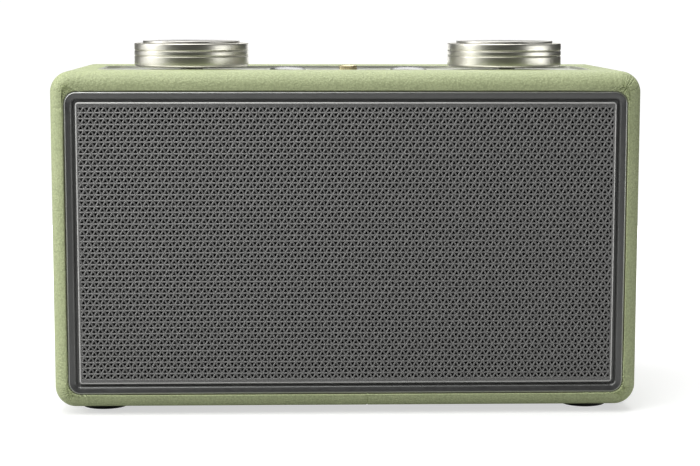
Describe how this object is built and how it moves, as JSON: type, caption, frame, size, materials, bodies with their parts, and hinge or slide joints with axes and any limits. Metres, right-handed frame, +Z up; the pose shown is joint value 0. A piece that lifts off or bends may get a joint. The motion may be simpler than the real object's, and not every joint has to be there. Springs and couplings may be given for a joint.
{
  "type": "table radio receiver",
  "caption": "Leather-wrapped wooden table radio with a metal lattice grille, turned knobs and push buttons on a recessed top panel, and a folding telescopic antenna behind.",
  "frame": {"origin": "On the table, under the middle of the bounding box of the whole radio with its antenna stowed.", "axes": "+Z up, +X to the right as the front is seen, front grille faces -Y."},
  "size_m": [0.28, 0.1278, 0.1779],
  "materials": {
    "leather": "fine pebble grain, satin",
    "cabinet_wood": "bare fibreboard",
    "speaker_board": "black stained",
    "bezel_black": "satin",
    "grille_metal": "gunmetal, satin",
    "speaker_cloth": "open weave",
    "basket_metal": "matt",
    "cone_paper": "pressed paper",
    "soft_rubber": "matt",
    "spider_fabric": "treated cloth",
    "plated_steel": "zinc plated",
    "ferrite": "dark ceramic ferrite",
    "panel_metal": "fine satin",
    "circuit_board": "solder mask",
    "button_metal": "polished",
    "spring_steel": "drawn wire",
    "black_plastic": "moulded",
    "knob_metal": "lathe turned, champagne",
    "knob_inlay": "spun",
    "control_metal": "plated",
    "brass": "knurled",
    "capacitor_sleeve": "shrink sleeve",
    "copper_wire": "enamelled copper",
    "white_plastic": "moulded",
    "rear_plastic": "fine spark texture",
    "cell_jacket": "printed steel jacket, plain",
    "antenna_metal": "polished",
    "foot_rubber": "matt"
  },
  "bodies": {
    "cabinet": {"leather_wrap": "leather", "cabinet_top": "cabinet_wood", "cabinet_bottom": "cabinet_wood", "cabinet_left": "cabinet_wood", "cabinet_right": "cabinet_wood", "corner_blocks": "cabinet_wood", "baffle": "speaker_board", "bezel": "bezel_black", "grille": "grille_metal", "grille_cloth": "speaker_cloth", "left_speaker_basket": "basket_metal", "right_speaker_basket": "basket_metal", "left_speaker_surround": "soft_rubber", "right_speaker_surround": "soft_rubber", "left_speaker_spider": "spider_fabric", "right_speaker_spider": "spider_fabric", "left_speaker_yoke": "plated_steel", "right_speaker_yoke": "plated_steel", "speaker_screws": "plated_steel", "rear_screws": "plated_steel", "foot_screws": "plated_steel", "control_nuts": "plated_steel", "tuner_shield": "plated_steel", "left_speaker_magnet": "ferrite", "right_speaker_magnet": "ferrite", "ferrite_rod": "ferrite", "top_panel": "panel_metal", "control_board": "circuit_board", "main_board": "circuit_board", "left_button_spring": "spring_steel", "right_button_spring": "spring_steel", "button_switches": "black_plastic", "jack_socket": "black_plastic", "battery_tray": "black_plastic", "dc_inlet": "black_plastic", "volume_control": "control_metal", "tuning_control": "control_metal", "jack_nut": "brass", "board_capacitors": "capacitor_sleeve", "ferrite_coil": "copper_wire", "rod_holders": "white_plastic", "rear_panel": "rear_plastic", "battery_cells": "cell_jacket", "antenna_base": "antenna_metal", "feet": "foot_rubber"},
    "volume": {"volume_knob": "knob_metal", "volume_knob_inlay": "knob_inlay", "volume_shaft": "control_metal"},
    "tuning": {"tuning_knob": "knob_metal", "tuning_knob_inlay": "knob_inlay", "tuning_shaft": "control_metal"},
    "left_key": {"left_button": "button_metal"},
    "right_key": {"right_button": "button_metal"},
    "left_cone": {"left_speaker_cone": "cone_paper"},
    "right_cone": {"right_speaker_cone": "cone_paper"},
    "battery_cover": {"battery_door": "rear_plastic"},
    "antenna_swivel_head": {"antenna_knuckle": "antenna_metal"},
    "antenna_outer": {"antenna_outer_tube": "antenna_metal"},
    "antenna_middle": {"antenna_middle_tube": "antenna_metal"},
    "antenna_tip": {"antenna_rod": "antenna_metal"}
  },
  "joints": [
    {"name": "volume_turn", "type": "hinge", "parent": "cabinet", "child": "volume", "pos_m": [-0.0762, -0.0039, 0.1735], "axis": [0, 0, -1], "range_deg": [0, 300]},
    {"name": "tuning_turn", "type": "hinge", "parent": "cabinet", "child": "tuning", "pos_m": [0.0808, -0.0039, 0.1735], "axis": [0, 0, -1], "continuous": true},
    {"name": "left_button_press", "type": "slide", "parent": "cabinet", "child": "left_key", "axis": [0, 0, -1], "range_m": [0, 0.0008], "stiffness_N_per_m": 1500, "springref_m": -0.0004, "deforming": ["left_button_spring"]},
    {"name": "right_button_press", "type": "slide", "parent": "cabinet", "child": "right_key", "axis": [0, 0, -1], "range_m": [0, 0.0008], "stiffness_N_per_m": 1500, "springref_m": -0.0004, "deforming": ["right_button_spring"]},
    {"name": "left_cone_travel", "type": "slide", "parent": "cabinet", "child": "left_cone", "axis": [0, -1, 0], "range_m": [-0.002, 0.002], "stiffness_N_per_m": 1600, "deforming": ["left_speaker_surround", "left_speaker_spider"]},
    {"name": "right_cone_travel", "type": "slide", "parent": "cabinet", "child": "right_cone", "axis": [0, -1, 0], "range_m": [-0.002, 0.002], "stiffness_N_per_m": 1600, "deforming": ["right_speaker_surround", "right_speaker_spider"]},
    {"name": "battery_door_hinge", "type": "hinge", "parent": "cabinet", "child": "battery_cover", "pos_m": [0, 0.0526, 0.0239], "axis": [-1, 0, 0], "range_deg": [0, 95]},
    {"name": "antenna_swivel", "type": "hinge", "parent": "cabinet", "child": "antenna_swivel_head", "pos_m": [0.104, 0.0606, 0.1375], "axis": [0, 1, 0], "range_deg": [0, 180]},
    {"name": "antenna_tilt", "type": "hinge", "parent": "antenna_swivel_head", "child": "antenna_outer", "pos_m": [0.104, 0.0606, 0.1375], "axis": [0, 0, -1], "range_deg": [0, 90]},
    {"name": "antenna_middle_slide", "type": "slide", "parent": "antenna_outer", "child": "antenna_middle", "axis": [-1, 0, 0], "range_m": [0, 0.125]},
    {"name": "antenna_tip_slide", "type": "slide", "parent": "antenna_middle", "child": "antenna_tip", "axis": [-1, 0, 0], "range_m": [0, 0.125]}
  ]
}
